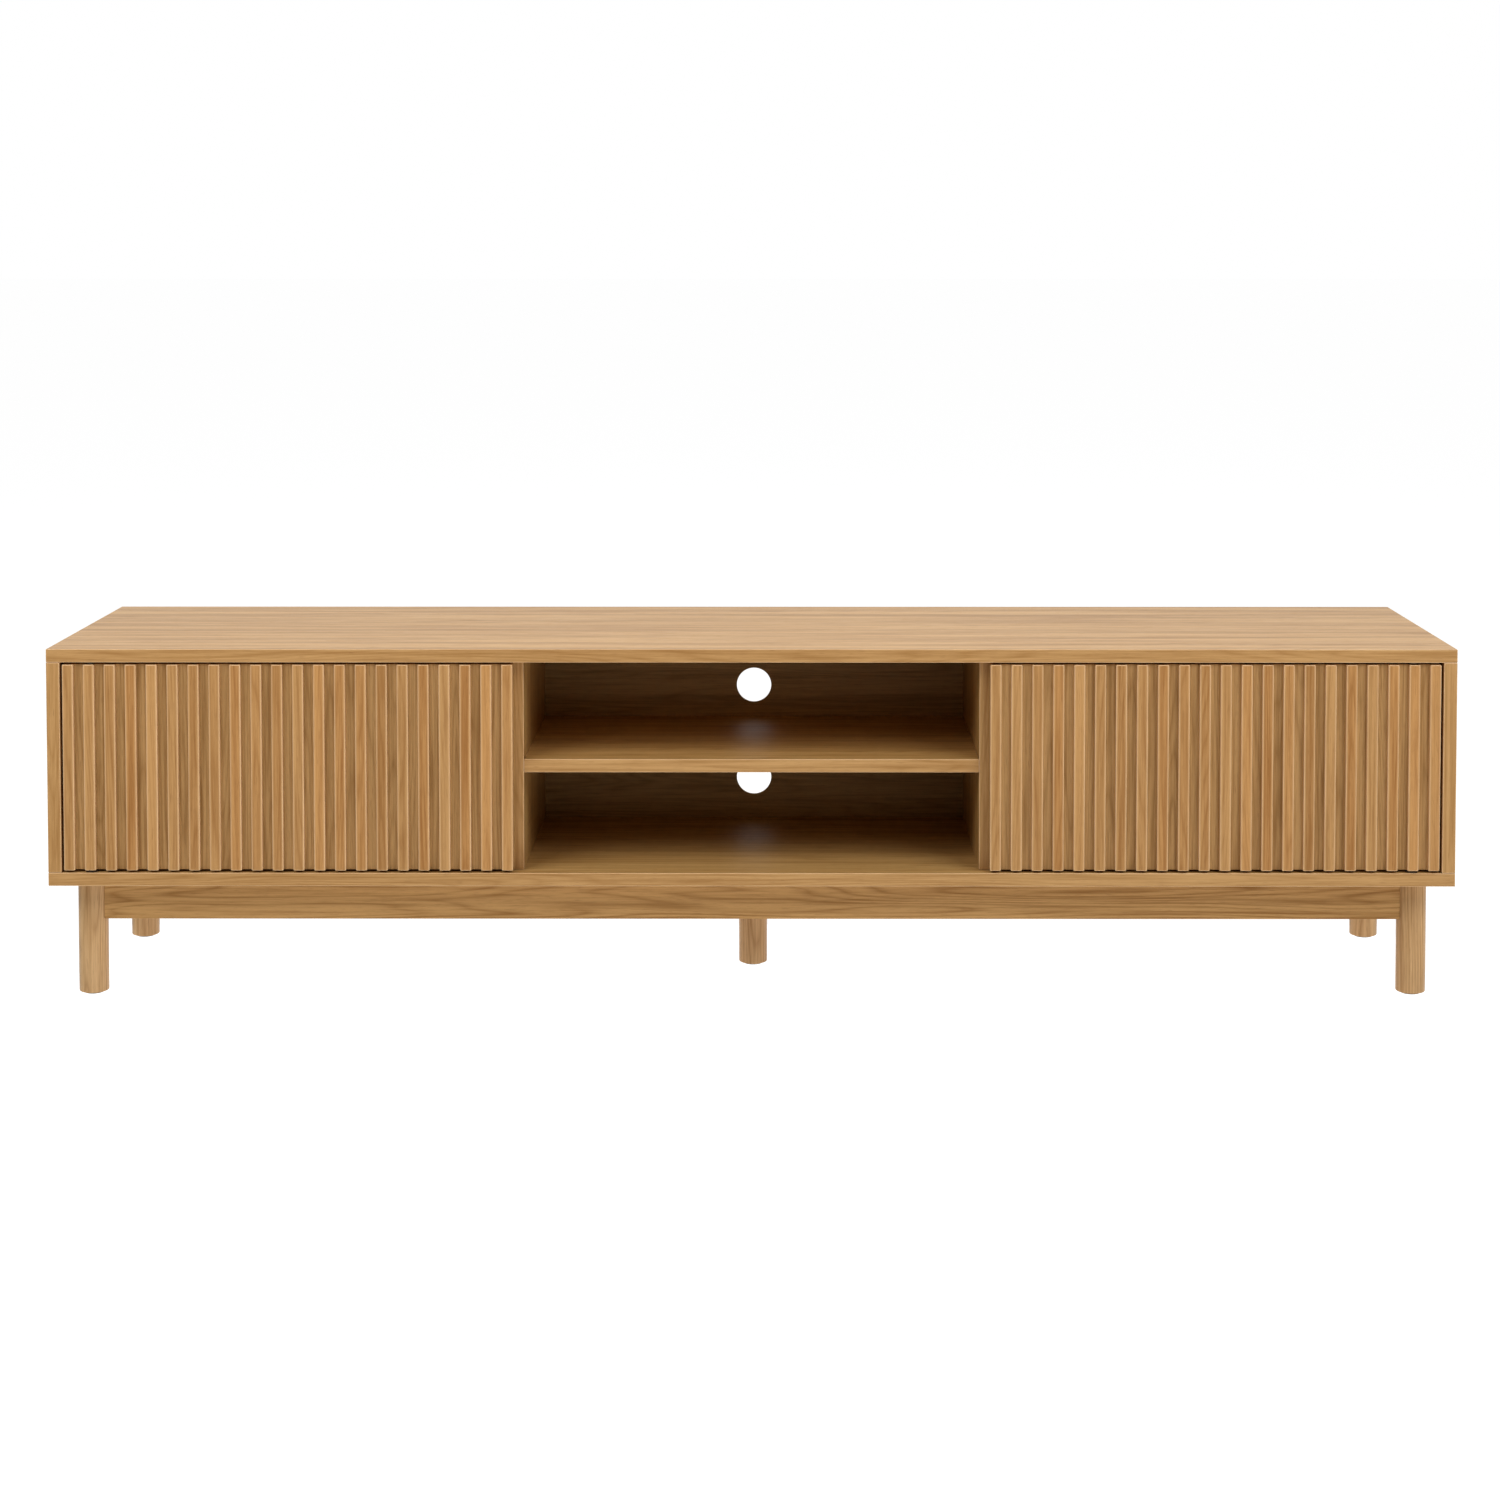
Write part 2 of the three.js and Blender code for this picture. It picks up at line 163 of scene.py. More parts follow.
def add_soft_box(name, at, aim, power, size):
    """A rectangular studio light at a point, turned towards another."""
    data = bpy.data.lights.new(name, "AREA")
    data.shape = "RECTANGLE"
    data.size, data.size_y = size
    data.energy = power
    lamp = bpy.data.objects.new(name, data)
    lamp.location = at
    lamp.rotation_euler = (Vector(at) - Vector(aim)).to_track_quat("Z", "Y").to_euler()
    lamp.visible_camera = False
    bpy.context.scene.collection.objects.link(lamp)


def add_lights():
    add_soft_box("left_light", (-1.9, -1.9, 2.5), (-0.4, 0, 0.3), 49, (1.7, 1.9))
    add_soft_box("right_light", (1.9, -1.9, 2.5), (0.4, 0, 0.3), 51, (1.7, 1.9))
    add_soft_box("top_light", (0, -0.1, 3.2), (0, 0, 0.4), 38, (2.6, 1.2))


def add_sky():
    """A white studio. Surfaces are lit by its floor and its backdrop, and the room in front is dim."""
    world = bpy.data.worlds.new("studio")
    s = Shader(world, "Background")
    world.cycles.sampling_method = "NONE"
    towards = s.node("ShaderNodeTexCoord", output="Generated")
    behind = s.ease(s.part(towards, "Y"), -0.1, 0.3)
    height = s.part(towards, "Z")
    backdrop = behind * s.ease(height, 0.5, 0.2) * SKY["backdrop"]
    # The lit floor is brightest close by, and on the right, under the stronger light
    below = s.ease(height, 0.02, -0.04)
    floor = below * (1 + s.part(towards, "X") * 0.8) * SKY["far_floor"]
    floor = floor + s.ease(height, -0.2, -0.5) * SKY["near_floor"]
    lit = SKY["room"] + backdrop * (1 - below) + floor
    mirrored = SKY["sheen"] + behind * SKY["shine"]
    camera_ray = s.node("ShaderNodeLightPath", output="Is Camera Ray")
    glossy_ray = s.node("ShaderNodeLightPath", output="Is Glossy Ray")
    s.set("Strength", lit + camera_ray * (1 - lit) + glossy_ray * (mirrored - lit))
    s.set("Color", (1, 1, 1, 1))
    bpy.context.scene.world = world


# ---------------------------------------------------------------- shader maths

class Value:
    """A number that varies over a surface. Arithmetic on it adds Math nodes."""

    def __init__(self, shader, socket):
        self.shader = shader
        self.socket = socket

    def __add__(self, other):
        return self.shader.math("ADD", self, other)

    def __sub__(self, other):
        return self.shader.math("SUBTRACT", self, other)

    def __mul__(self, other):
        return self.shader.math("MULTIPLY", self, other)

    def __truediv__(self, other):
        return self.shader.math("DIVIDE", self, other)

    def __rsub__(self, other):
        return self.shader.math("SUBTRACT", other, self)

    __radd__ = __add__
    __rmul__ = __mul__


class Shader:
    """The nodes of a material or of the world, which lead to the one node named."""

    def __init__(self, owner, end="Principled BSDF"):
        self.owner = owner
        owner.use_nodes = True
        self.tree = owner.node_tree
        self.end = self.tree.nodes[end]

    def node(self, kind, settings=None, inputs=None, output=0):
        """Adds a node with its settings and the values or links of its sockets."""
        made = self.tree.nodes.new(kind)
        for key, value in (settings or {}).items():
            setattr(made, key, value)
        for key, value in (inputs or {}).items():
            self.plug(made.inputs[key], value)
        return Value(self, made.outputs[output])

    def plug(self, socket, value):
        if isinstance(value, Value):
            self.tree.links.new(value.socket, socket)
        else:
            socket.default_value = value

    def set(self, name, value):
        self.plug(self.end.inputs[name], value)

    def math(self, operation, first, second=0.0):
        return self.node("ShaderNodeMath", {"operation": operation}, {0: first, 1: second})

    def power(self, value, exponent):
        return self.math("POWER", value, exponent)

    def part(self, vector, axis):
        return self.node("ShaderNodeSeparateXYZ", inputs={"Vector": vector}, output=axis)

    def place(self):
        return self.node("ShaderNodeTexCoord", output="Object")

    def stretch(self, vector, scale):
        return self.node("ShaderNodeVectorMath", {"operation": "MULTIPLY"}, {0: vector, 1: scale})

    def shift(self, vector, amount):
        return self.node("ShaderNodeVectorMath", {"operation": "ADD"}, {0: vector, 1: amount})

    def noise(self, vector, scale=1.0, detail=2.0, rough=0.5, warp=0.0):
        inputs = {"Vector": vector, "Scale": scale, "Detail": detail, "Roughness": rough}
        inputs["Distortion"] = warp
        return self.node("ShaderNodeTexNoise", inputs=inputs, output="Fac")

    def ease(self, value, low, high, to_low=0.0, to_high=1.0):
        settings = {"interpolation_type": "SMOOTHSTEP"}
        inputs = {"Value": value, "From Min": low, "From Max": high, "To Min": to_low, "To Max": to_high}
        return self.node("ShaderNodeMapRange", settings, inputs)

    def mix(self, factor, first, second, blend="MIX"):
        settings = {"data_type": "RGBA", "blend_type": blend}
        return self.node("ShaderNodeMix", settings, {0: factor, 6: first, 7: second}, output=2)

    def bump(self, height, distance, strength=1.0):
        inputs = {"Height": height, "Distance": distance, "Strength": strength}
        self.set("Normal", self.node("ShaderNodeBump", inputs=inputs))


def colour(red, green, blue):
    """A screen colour, 0 to 255, as the linear colour a shader takes."""
    def linear(value):
        value /= 255
        return value / 12.92 if value <= 0.04045 else ((value + 0.055) / 1.055) ** 2.4
    return (linear(red), linear(green), linear(blue), 1.0)


# ---------------------------------------------------------------- materials

# Turns that lay the grain, which the pattern runs along X, on each axis
GRAIN = {
    "x": (0.0, 0.0, 0.0),
    "y": (0.0, 0.0, math.pi / 2),
    "z": (0.0, math.pi / 2, 0.0),
}
PORE_SHADE = (0.55, 0.46, 0.36, 1.0)  # what a pore leaves of the wood's colour


def drawn_lot(s, seed):
    """A number from 0 to 1 that seems drawn by lot, and is the same for the same seed."""
    return s.node("ShaderNodeTexWhiteNoise", {"noise_dimensions": "1D"}, {"W": seed}, output="Value")


def grain_patterns(s, along):
    """Growth rings, fibres in two widths, a board's broad bands, and pores, all lying along X."""
    # Rings are the contour lines of a slow field that is long along the grain
    field = s.noise(s.stretch(along, (1.1, 20.0, 20.0)), detail=2.0, rough=0.4, warp=0.08)
    late = s.power(s.math("PINGPONG", field * 26.0, 0.5) * 2.0, 2.2)
    coarse = s.noise(s.stretch(along, (6.0, 260.0, 260.0)), detail=3.0, rough=0.65)
    fine = s.noise(s.stretch(along, (18.0, 800.0, 800.0)), detail=2.0, rough=0.6)
    band = s.noise(s.stretch(along, (1.5, 48.0, 48.0)), detail=2.0, rough=0.5)
    # Pores are short open dashes, crowded in the early wood
    dashes = s.noise(s.stretch(along, (60.0, 2100.0, 2100.0)), detail=1.0)
    pores = s.ease(dashes, 0.58, 0.72) * (1.0 - late * 0.6)
    return late, coarse, fine, band, pores


def slat_tone_and_highlight(s, wood, count, number, pitch):
    """Gives each slat a hue of its own and a painted highlight, a paler band along its edges."""
    tint = s.mix(drawn_lot(s, number + 0.5), (1.03, 0.985, 0.93, 1), (0.975, 1.0, 1.03, 1))
    wood = s.mix(1.0, wood, tint, blend="MULTIPLY")
    aside = s.math("ABSOLUTE", count - number - 0.5) * pitch
    # Painted highlight: a paler colour towards each slat's edges, standing in for light caught there
    painted_highlight = s.ease(aside, SLAT_WIDTH / 2 - SLAT_HIGHLIGHT_REACH, SLAT_WIDTH / 2 - SLAT_EDGE)
    return s.mix(painted_highlight * 0.4, wood, colour(228, 186, 136))


def oak(name, grain, pale, deep, figure=1.0, streak=1.0, rough=0.3, slats=None):
    """Lacquered oak. pale and deep are its lightest and darkest fibres, figure the strength of its
    growth rings and streak that of its broad bands. slats is (first edge, pitch) along X where
    each slat has a tone of its own and a painted highlight along its edges."""
    s = Shader(bpy.data.materials.new(name))
    place = s.place()
    along = s.node("ShaderNodeMapping", inputs={"Vector": place, "Rotation": GRAIN[grain]})
    if slats:
        first, pitch = slats
        count = (s.part(place, "X") - first) / pitch
        number = s.math("FLOOR", count)
        tone = drawn_lot(s, number)
        along = s.shift(along, s.node("ShaderNodeCombineXYZ", inputs={"X": tone * 3.0, "Y": tone * 0.7}))

    late, coarse, fine, band, pores = grain_patterns(s, along)
    depth = (late - 0.35) * (0.26 * figure) + (coarse - 0.5) * 1.15 + (fine - 0.5) * 0.5 + 0.46
    depth = depth + (band - 0.5) * streak
    if slats:
        depth = depth + (tone - 0.5) * 0.36
    wood = s.mix(s.ease(depth, 0.0, 1.0), pale, deep)
    wood = s.mix(pores * 0.5, wood, s.mix(1.0, wood, PORE_SHADE, blend="MULTIPLY"))
    if slats:
        wood = slat_tone_and_highlight(s, wood, count, number, pitch)
    s.set("Base Color", wood)
    s.set("Roughness", (coarse - 0.5) * 0.14 + pores * 0.12 + rough)
    s.set("Specular IOR Level", 0.22)
    s.bump(0.5 * coarse + 0.35 * fine - 0.6 * pores, 0.12 * MM, 0.6)
    return s.owner


def zinc_steel():
    s = Shader(bpy.data.materials.new("zinc_plated_steel"))
    place = s.place()
    grain = s.noise(s.stretch(place, (220.0, 220.0, 900.0)), detail=3.0)
    cloud = s.noise(place, scale=60.0, detail=2.0)
    s.set("Base Color", s.mix(cloud, (0.52, 0.53, 0.55, 1), (0.68, 0.69, 0.70, 1)))
    s.set("Metallic", 1.0)
    s.set("Roughness", 0.26 + grain * 0.2)
    s.bump(grain, 0.03 * MM, 0.5)
    return s.owner


def nylon():
    s = Shader(bpy.data.materials.new("brown_nylon"))
    mottle = s.noise(s.place(), scale=420.0, detail=3.0)
    s.set("Base Color", s.mix(mottle, (0.075, 0.05, 0.03, 1), (0.105, 0.07, 0.042, 1)))
    s.set("Roughness", 0.42 + mottle * 0.15)
    s.bump(mottle, 0.03 * MM, 0.4)
    return s.owner


def black_plastic():
    s = Shader(bpy.data.materials.new("black_moulded_plastic"))
    texture = s.noise(s.place(), scale=1500.0, detail=2.0)
    s.set("Base Color", s.mix(texture, (0.018, 0.018, 0.019, 1), (0.035, 0.035, 0.037, 1)))
    s.set("Roughness", 0.4 + texture * 0.2)
    s.bump(texture, 0.06 * MM, 0.5)
    return s.owner


def felt():
    s = Shader(bpy.data.materials.new("pressed_felt"))
    place = s.place()
    fibres = s.noise(place, scale=900.0, detail=4.0, rough=0.7, warp=1.5)
    cloud = s.noise(place, scale=120.0, detail=2.0)
    s.set("Base Color", s.mix(fibres * 0.6 + cloud * 0.4, (0.09, 0.065, 0.045, 1), (0.24, 0.19, 0.14, 1)))
    s.set("Roughness", 0.95)
    s.set("Sheen Weight", 0.3)
    s.bump(fibres, 0.3 * MM, 0.8)
    return s.owner


PALE = colour(204, 159, 103)
DEEP = colour(162, 116, 63)
INNER_PALE = colour(198, 159, 100)
INNER_DEEP = colour(157, 116, 61)
# Paler oak painted on the eased edges as a highlight, where light catches them
HIGHLIGHT_PALE = colour(230, 192, 145)
HIGHLIGHT_DEEP = colour(206, 164, 116)


def slat_pitch(side):
    low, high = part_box(f"{side}_door")
    return (high.x - low.x - SLAT_WIDTH) / (SLATS - 1)


def make_materials():
    made = {
        "top": oak("oak_top", "x", colour(223, 177, 116), colour(177, 129, 71), streak=1.6),
        "oak_x": oak("oak_along_x", "x", INNER_PALE, INNER_DEEP, rough=0.46),
        "oak_z": oak("oak_along_z", "z", INNER_PALE, INNER_DEEP, rough=0.36),
        "side": oak("oak_side", "z", PALE, DEEP),
        "band_x": oak("oak_edge_band_x", "x", PALE, DEEP, figure=0.8, streak=0.5),
        "band_y": oak("oak_edge_band_y", "y", PALE, DEEP, figure=0.8, streak=0.5),
        "band_z": oak("oak_edge_band_z", "z", PALE, DEEP, figure=0.8, streak=0.5),
        # The eased edges' materials carry a painted highlight: paler oak
        "eased_x": oak("oak_eased_edge_x", "x", HIGHLIGHT_PALE, HIGHLIGHT_DEEP),
        "eased_z": oak("oak_eased_edge_z", "z", HIGHLIGHT_PALE, HIGHLIGHT_DEEP),
        "backing": oak("oak_backing", "z", colour(204, 161, 104), colour(156, 114, 63)),
        "back": oak("oak_back_board", "x", colour(192, 156, 98), colour(152, 116, 61), rough=0.42),
        "rail": oak("oak_rail", "x", colour(217, 169, 107), colour(163, 115, 60), figure=1.6),
        "rail_y": oak("oak_cross_rail", "y", colour(217, 169, 107), colour(163, 115, 60), figure=1.6),
        "leg": oak("oak_leg", "z", colour(223, 182, 131), colour(175, 131, 82), figure=1.3),
        "steel": zinc_steel(),
        "nylon": nylon(),
        "plastic": black_plastic(),
        "felt": felt(),
    }
    for side, _ in SIDES:
        pitch = slat_pitch(side)
        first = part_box(f"{side}_door")[0].x - (pitch - SLAT_WIDTH) / 2
        pale = colour(202, 153, 96)
        deep = colour(161, 111, 59)
        made[f"{side}_slats"] = oak(f"oak_{side}_slats", "z", pale, deep, streak=0.6, slats=(first, pitch))
    return made


# ---------------------------------------------------------------- mesh tools

def eased_box(low, high, ease, segments=2):
    """A rectangular board with its edges rounded."""
    bm = bmesh.new()
    bmesh.ops.create_cube(bm, size=1)
    bmesh.ops.scale(bm, vec=high - low, verts=bm.verts)
    bmesh.ops.translate(bm, vec=(low + high) / 2, verts=bm.verts)
    bmesh.ops.bevel(bm, geom=bm.edges[:], offset=ease, segments=segments, profile=0.5,
                    affect="EDGES", material=-1)
    return bm


def turned(profile, steps):
    """A turned piece on the Z axis, from (radius, height) points that start and end on the axis."""
    bm = bmesh.new()
    verts = [bm.verts.new((radius, 0, height)) for radius, height in profile]
    for first, second in zip(verts, verts[1:]):
        bm.edges.new((first, second))
    bmesh.ops.spin(bm, geom=bm.verts[:] + bm.edges[:], cent=(0, 0, 0), axis=(0, 0, 1),
                   angle=math.tau, steps=steps, use_merge=True)
    bmesh.ops.remove_doubles(bm, verts=bm.verts, dist=0.001 * MM)
    bmesh.ops.recalc_face_normals(bm, faces=bm.faces)
    return bm


def arc(centre, radius, start, end, steps=4):
    """Points of a round corner in a profile, its angles in degrees."""
    angles = [math.radians(start + (end - start) * step / steps) for step in range(steps + 1)]
    return [(centre[0] + radius * math.cos(a), centre[1] + radius * math.sin(a)) for a in angles]


def aimed(bm, at, towards=(0, 0, 1)):
    """Turns a piece's Z axis to a direction and puts its origin at a point."""
    turn = Vector(towards).to_track_quat("Z", "Y").to_matrix().to_4x4()
    bm.transform(Matrix.Translation(at) @ turn)
    return bm


def shade(bm, sharp=35):
    """Smooth faces, with the edges that turn by more than an angle kept sharp."""
    for face in bm.faces:
        face.smooth = True
    for edge in bm.edges:
        if len(edge.link_faces) == 2 and edge.calc_face_angle() > math.radians(sharp):
            edge.smooth = False


def add_piece(name, bm, materials, body, replaced=()):
    mesh = bpy.data.meshes.new(name)
    bm.to_mesh(mesh)
    bm.free()
    for material in materials if isinstance(materials, list) else [materials]:
        mesh.materials.append(material)
    piece = bpy.data.objects.new(name, mesh)
    bpy.context.scene.collection.objects.link(piece)
    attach(piece, body)
    if replaced:
        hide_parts(*replaced)
    return piece


def repaint(node, material, ease=0.0):
    """Gives a CAD node its finish and, where asked, rounds its edges."""
    piece = frame["nodes"][node]
    piece.data.materials.clear()
    piece.data.materials.append(material)
    if ease:
        weld = piece.modifiers.new("weld", "WELD")
        weld.merge_threshold = 0.01 * MM
        bevel = piece.modifiers.new("eased_edges", "BEVEL")
        bevel.width = ease
        bevel.segments = 2
        bevel.limit_method = "ANGLE"
        bevel.angle_limit = math.radians(50)


# ---------------------------------------------------------------- carcass

def finish_faces(bm, banded=()):
    """Face materials of a board: 0 on its faces, 1 on its eased edges, which carry a painted highlight,
    then one for each banded axis.
    """
    for face in bm.faces:
        across = max(range(3), key=lambda axis: abs(face.normal[axis]))
        if abs(face.normal[across]) < 0.99:
            face.material_index = 1
        elif across in banded:
            face.material_index = 2 + banded.index(across)


def add_board(node, materials, banded=()):
    low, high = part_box(node)
    bm = eased_box(low, high, EDGE)
    finish_faces(bm, banded)
    add_piece(f"oak_{node}", bm, materials, CARCASS, [node])


def add_boards(paint):
    along_x = [paint["oak_x"], paint["eased_x"], paint["band_x"], paint["band_y"]]
    upright = [paint["oak_z"], paint["eased_z"], paint["band_z"]]
    outer = [paint["side"]] + upright[1:]
    add_board("top_panel", [paint["top"]] + along_x[1:], banded=(1, 0))
    add_board("bottom_panel", along_x, banded=(1, 0))
    add_board("center_shelf", along_x[:3], banded=(1,))
    for side, _ in SIDES:
        add_board(f"{side}_side_panel", outer, banded=(1,))
        add_board(f"{side}_divider", upright, banded=(1,))
        add_board(f"{side}_shelf", along_x[:3], banded=(1,))


def cable_hole_heights():
    """The heights of the cable holes' centres, from the boxes that the record keeps clear in them."""
    holes = [o for o in frame["record"]["physics"]["openings"] if o["name"].endswith("cable_hole")]
    return sorted((o["box_m"][0][2] + o["box_m"][1][2]) / 2 for o in holes)


def add_back_panel(paint):
    low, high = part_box("back_panel")
    bm = bmesh.new()
    bmesh.ops.create_grid(bm, x_segments=1, y_segments=1, size=0.5)
    bmesh.ops.delete(bm, geom=bm.faces[:], context="FACES_ONLY")
    bmesh.ops.scale(bm, vec=(high.x - low.x, high.z - low.z, 1), verts=bm.verts)
    middle = (low.z + high.z) / 2
    for height in cable_hole_heights():
        bmesh.ops.create_circle(bm, segments=LEG_ROUND, radius=CABLE_HOLE / 2,
                                matrix=Matrix.Translation((0, height - middle, 0)))
    bmesh.ops.triangle_fill(bm, use_beauty=True, edges=bm.edges[:], normal=(0, 0, 1))
    board = bmesh.ops.extrude_face_region(bm, geom=bm.faces[:])
    raised = [item for item in board["geom"] if isinstance(item, bmesh.types.BMVert)]
    bmesh.ops.translate(bm, vec=(0, 0, high.y - low.y), verts=raised)
    bmesh.ops.recalc_face_normals(bm, faces=bm.faces)
    rims = [edge for edge in bm.edges if len(edge.link_faces) == 2 and edge.calc_face_angle() > 1]
    bmesh.ops.bevel(bm, geom=rims, offset=BACK_EDGE, segments=2, profile=0.5, affect="EDGES",
                    material=-1)
    upright = Matrix.Rotation(math.pi / 2, 4, "X")
    bm.transform(Matrix.Translation((0, high.y, middle)) @ upright)
    add_piece("oak_back_panel", bm, paint["back"], CARCASS, ["back_panel"])


# ---------------------------------------------------------------- doors

def add_door(side, paint):
    body = f"{side}_door_leaf"
    low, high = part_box(f"{side}_door")
    face = low.y + SLAT_DEPTH
    backing = eased_box(Vector((low.x, face + GLUE, low.z)), high, BACKING_EDGE)
    add_piece(f"{side}_door_backing", backing, paint["backing"], body, [f"{side}_door"])
    pitch = slat_pitch(side)
    for number in range(SLATS):
        start = low.x + number * pitch
        far_corner = Vector((start + SLAT_WIDTH, face, high.z))
        slat = eased_box(Vector((start, low.y, low.z)), far_corner, SLAT_EDGE)
        finish_faces(slat)
        # The slat's eased edges take the paler oak of the painted highlight
        finish = [paint[f"{side}_slats"], paint["eased_z"]]
        add_piece(f"{side}_slat_{number + 1:02d}", slat, finish, body)


# ---------------------------------------------------------------- base

def add_turned(node, name, ease, steps, material):
    """A round upright in place of a CAD node, with its lower rim rounded."""
    low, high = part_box(node)
    radius = (high.x - low.x) / 2
    profile = [(0, low.z)] + arc((radius - ease, low.z + ease), ease, -90, 0)
    profile += [(radius, high.z), (0, high.z)]
    bm = turned(profile, steps)
    shade(bm)
    centre = (low + high) / 2
    add_piece(name, aimed(bm, (centre.x, centre.y, 0)), material, CARCASS, [node])


def add_leg(name, paint):
    add_turned(name, f"turned_{name}", LEG_EASE, LEG_ROUND, paint["leg"])
    add_turned(f"{name}_glide", f"{name}_felt_glide", GLIDE_EASE, GLIDE_ROUND, paint["felt"])


def add_base(paint):
    names = [f"{end}_{side}_leg" for end, _ in ENDS for side, _ in SIDES] + ["center_leg"]
    for name in names:
        add_leg(name, paint)
    for end, _ in ENDS:
        repaint(f"{end}_rail", paint["rail"], EDGE)
        repaint(f"center_rail_{end}", paint["rail_y"], EDGE)
    for side, _ in SIDES:
        repaint(f"{side}_rail", paint["rail_y"], EDGE)


# ---------------------------------------------------------------- fittings

SCREW_STEPS = 24
CROSS = (1.0, 1.03, 0.6, 0.42, 0.6, 1.03)  # reach of a cross recess, every 15 degrees from one arm


def ring(bm, radius, height, reaches=(1.0,)):
    """A loop of edges round the Z axis. Its radius is scaled by each reach in turn."""
    verts = bmesh.ops.create_circle(bm, segments=SCREW_STEPS, radius=1)["verts"]
    for number, vert in enumerate(verts):
        angle = math.tau * number / SCREW_STEPS
        reach = radius * reaches[number % len(reaches)]
        vert.co = (reach * math.cos(angle), reach * math.sin(angle), height)
    return list({edge for vert in verts for edge in vert.link_edges})


def screw_head(radius, rise):
    """A domed head that stands on the XY plane, with a cross recess for the driver."""
    bm = bmesh.new()
    tool = radius * 0.55
    loops = [
        ring(bm, radius, 0),
        ring(bm, radius, rise * 0.3),
        ring(bm, radius * 0.9, rise * 0.75),
        ring(bm, radius * 0.7, rise),
        ring(bm, tool, rise, CROSS),
        ring(bm, tool * 0.85, rise * 0.25, CROSS),
    ]
    for lower, upper in zip(loops, loops[1:]):
        bmesh.ops.bridge_loops(bm, edges=lower + upper)
    bmesh.ops.holes_fill(bm, edges=bm.edges[:], sides=SCREW_STEPS)
    bmesh.ops.recalc_face_normals(bm, faces=bm.faces)
    shade(bm)
    return bm


def add_screw(name, at, towards, head, body, paint):
    """A screw whose head, given as (radius, rise), stands on a surface at a point."""
    bm = aimed(screw_head(*head), at, towards)
    add_piece(name, bm, paint["steel"], body)


def catch_case(low, high):
    """A plastic case with a hollow in the bottom."""
    case = eased_box(low, high, CATCH_EDGE)
    middle = (low.z + high.z) / 2
    under = [f for f in case.faces if f.normal.z < -0.99 and f.calc_center_median().z < middle]
    bmesh.ops.inset_region(case, faces=under, thickness=CATCH_RIM)
    sunk = {vert for face in under for vert in face.verts}
    bmesh.ops.translate(case, vec=(0, 0, CATCH_HOLLOW), verts=list(sunk))
    return case


def add_catch_ears(side, low, high, paint):
    """The two flanges that the catch is screwed to the ceiling by."""
    under = high.z - CATCH_EAR_THICKNESS
    spans = ((low.x, low.x + CATCH_EAR - GLUE), (high.x - CATCH_EAR + GLUE, high.x))
    for number, (start, end) in enumerate(spans, 1):
        near = Vector((start, low.y + CATCH_EAR_INSET, under))
        far = Vector((end, high.y - CATCH_EAR_INSET, high.z))
        ear = eased_box(near, far, CATCH_EAR_EDGE)
        add_piece(f"{side}_catch_ear_{number}", ear, paint["plastic"], CARCASS)
        at = ((start + end) / 2, (low.y + high.y) / 2, under)
        add_screw(f"{side}_catch_screw_{number}", at, (0, 0, -1), CATCH_SCREW, CARCASS, paint)


def add_catch_poles(side, low, high, paint):
    """The two steel bars, one above the other, that the magnet between them works through."""
    middle = (low.z + high.z) / 2
    half = CATCH_POLE_THICKNESS / 2
    inset = CATCH_EAR + CATCH_POLE_INSET
    for number, height in enumerate((middle - CATCH_POLE_SPACE, middle + CATCH_POLE_SPACE), 1):
        near = Vector((low.x + inset, low.y, height - half))
        far = Vector((high.x - inset, low.y + CATCH_POLE_REACH - GLUE, height + half))
        pole = eased_box(near, far, CATCH_POLE_EDGE)
        add_piece(f"{side}_catch_pole_{number}", pole, paint["steel"], CARCASS)


def add_catch(side, paint):
    """A magnetic catch on the ceiling."""
    low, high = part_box(f"{side}_magnetic_catch")
    near = Vector((low.x + CATCH_EAR, low.y + CATCH_POLE_REACH, low.z))
    case = catch_case(near, Vector((high.x - CATCH_EAR, high.y, high.z)))
    add_piece(f"{side}_catch_case", case, paint["plastic"], CARCASS,
              [f"{side}_magnetic_catch"])
    add_catch_ears(side, low, high, paint)
    add_catch_poles(side, low, high, paint)


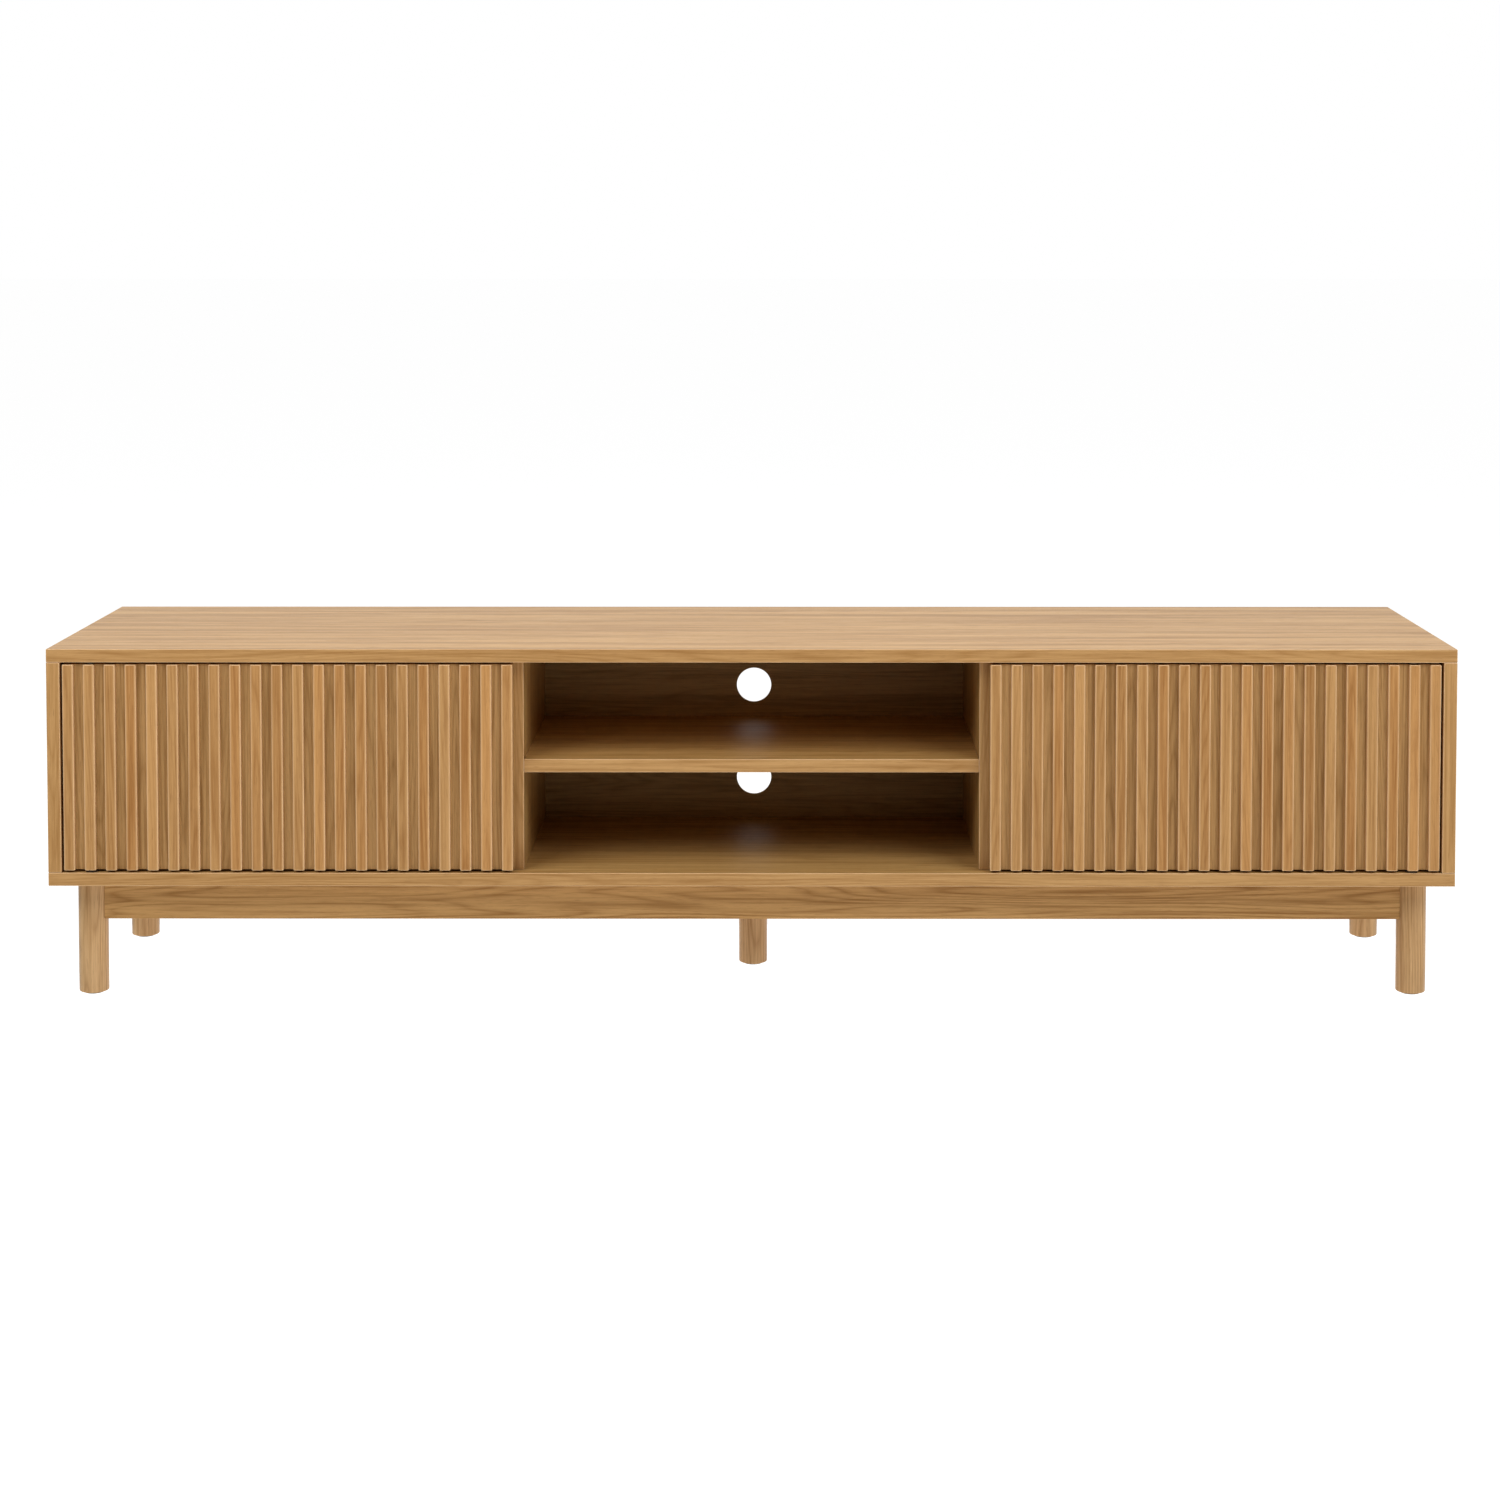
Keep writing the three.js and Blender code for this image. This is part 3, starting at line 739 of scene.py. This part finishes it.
def add_strike(side, paint):
    """The steel plate on the door's back that the catch holds, with a screw at each end."""
    low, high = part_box(f"{side}_strike_plate")
    body = f"{side}_door_leaf"
    plate = eased_box(low, high, 0.3 * MM)
    add_piece(f"{side}_strike", plate, paint["steel"], body, [f"{side}_strike_plate"])
    for number, along in enumerate((low.x + STRIKE_SCREW_INSET, high.x - STRIKE_SCREW_INSET), 1):
        at = (along, high.y - STRIKE_SINK, (low.z + high.z) / 2)
        add_screw(f"{side}_strike_screw_{number}", at, (0, 1, 0), STRIKE_SCREW, body, paint)


def add_brace_screws(name, sign_x, sign_y, paint):
    """Four screws hold a corner brace's two flanges to the rails."""
    low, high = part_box(f"{name}_brace")
    far = Vector((high.x if sign_x > 0 else low.x, high.y if sign_y > 0 else low.y))
    near = Vector((low.x if sign_x > 0 else high.x, low.y if sign_y > 0 else high.y))
    along = BRACE_SCREW_ALONG
    number = 0
    for height in (low.z + BRACE_SCREW_INSET, high.z - BRACE_SCREW_INSET):
        flanges = (
            ((near.x + sign_x * along, far.y - sign_y * BRACE_THICKNESS, height), (0, -sign_y, 0)),
            ((far.x - sign_x * BRACE_THICKNESS, near.y + sign_y * along, height), (-sign_x, 0, 0)),
        )
        for at, towards in flanges:
            number += 1
            add_screw(f"{name}_brace_screw_{number}", at, towards, BRACE_SCREW, CARCASS, paint)


def add_fittings(paint):
    for name in frame["nodes"]:
        if name.endswith(("_pin", "_leg_bolt")):
            repaint(name, paint["steel"])
        if name.endswith("_brace"):
            repaint(name, paint["steel"], 0.4 * MM)
        if name.endswith("_pivot_bush"):
            repaint(name, paint["nylon"])
    for side, sign_x in SIDES:
        add_catch(side, paint)
        add_strike(side, paint)
        for end, sign_y in ENDS:
            add_brace_screws(f"{end}_{side}", sign_x, sign_y, paint)


# ---------------------------------------------------------------- the cabinet

bpy.context.scene.view_settings.view_transform = "Standard"
add_camera()
add_floor()
add_sky()
add_lights()
paints = make_materials()
add_boards(paints)
add_back_panel(paints)
for door_side, _ in SIDES:
    add_door(door_side, paints)
add_base(paints)
add_fittings(paints)
